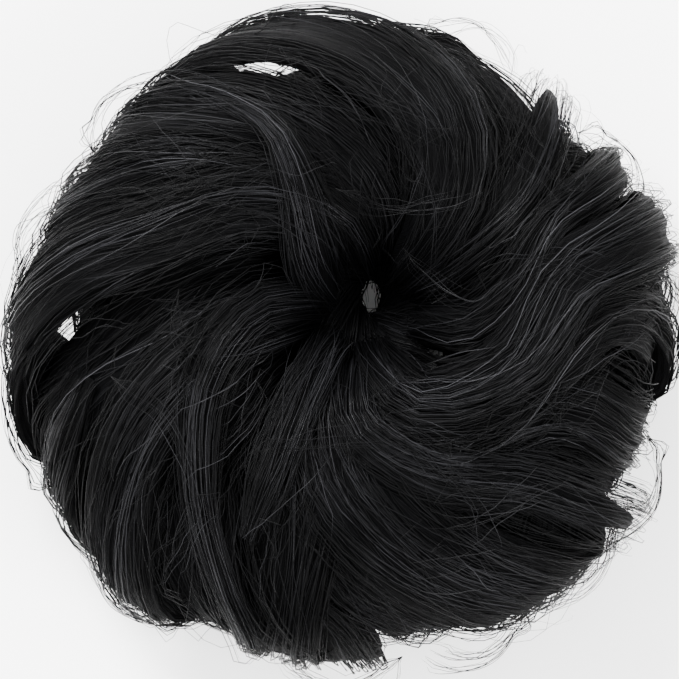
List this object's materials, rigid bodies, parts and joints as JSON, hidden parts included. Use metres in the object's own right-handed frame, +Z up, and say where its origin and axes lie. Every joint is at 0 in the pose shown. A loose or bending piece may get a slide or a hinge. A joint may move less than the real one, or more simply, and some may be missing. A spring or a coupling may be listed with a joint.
{
  "type": "top knot hairpiece",
  "caption": "Round messy bun hairpiece: long swirling locks tied by eyes round one elastic band, open through the middle so that a ponytail goes in and the bun slips over a knot of hair.",
  "frame": {"origin": "on the surface that the bun rests on, under the middle of its outline", "axes": "+Z up through the hole out of the crown, +X to the right and +Y to the top as the crown is looked down on"},
  "size_m": [0.148, 0.1452, 0.0586],
  "materials": {
    "hair": "soft sheen",
    "elastic_cord": "matt"
  },
  "bodies": {
    "root": {"elastic_band": "elastic_cord", "front_lock": "hair", "right_cross_lock": "hair", "upright_lock": "hair", "centre_lock": "hair", "arch_lock": "hair", "left_cross_lock": "hair", "right_lower_lock": "hair", "right_high_lock": "hair", "tip_lock": "hair", "lower_left_lock": "hair", "fan_lock": "hair", "right_upper_lock": "hair", "upper_lock": "hair", "left_rim_loop": "hair", "upper_left_lock": "hair", "lower_left_rim_loop": "hair", "right_middle_lock": "hair", "lower_lock": "hair", "right_rim_loop": "hair", "upper_right_rim_loop": "hair", "upper_right_lock": "hair", "top_rim_loop": "hair", "upper_left_rim_loop": "hair", "bottom_rim_loop": "hair", "bottom_lock": "hair", "lower_right_rim_loop": "hair", "low_left_lock": "hair", "right_low_rim_loop": "hair", "left_lock": "hair", "high_left_lock": "hair", "inner_lock_1": "hair", "inner_lock_2": "hair", "inner_lock_3": "hair", "inner_lock_4": "hair", "inner_lock_5": "hair", "inner_lock_6": "hair"}
  },
  "joints": []
}
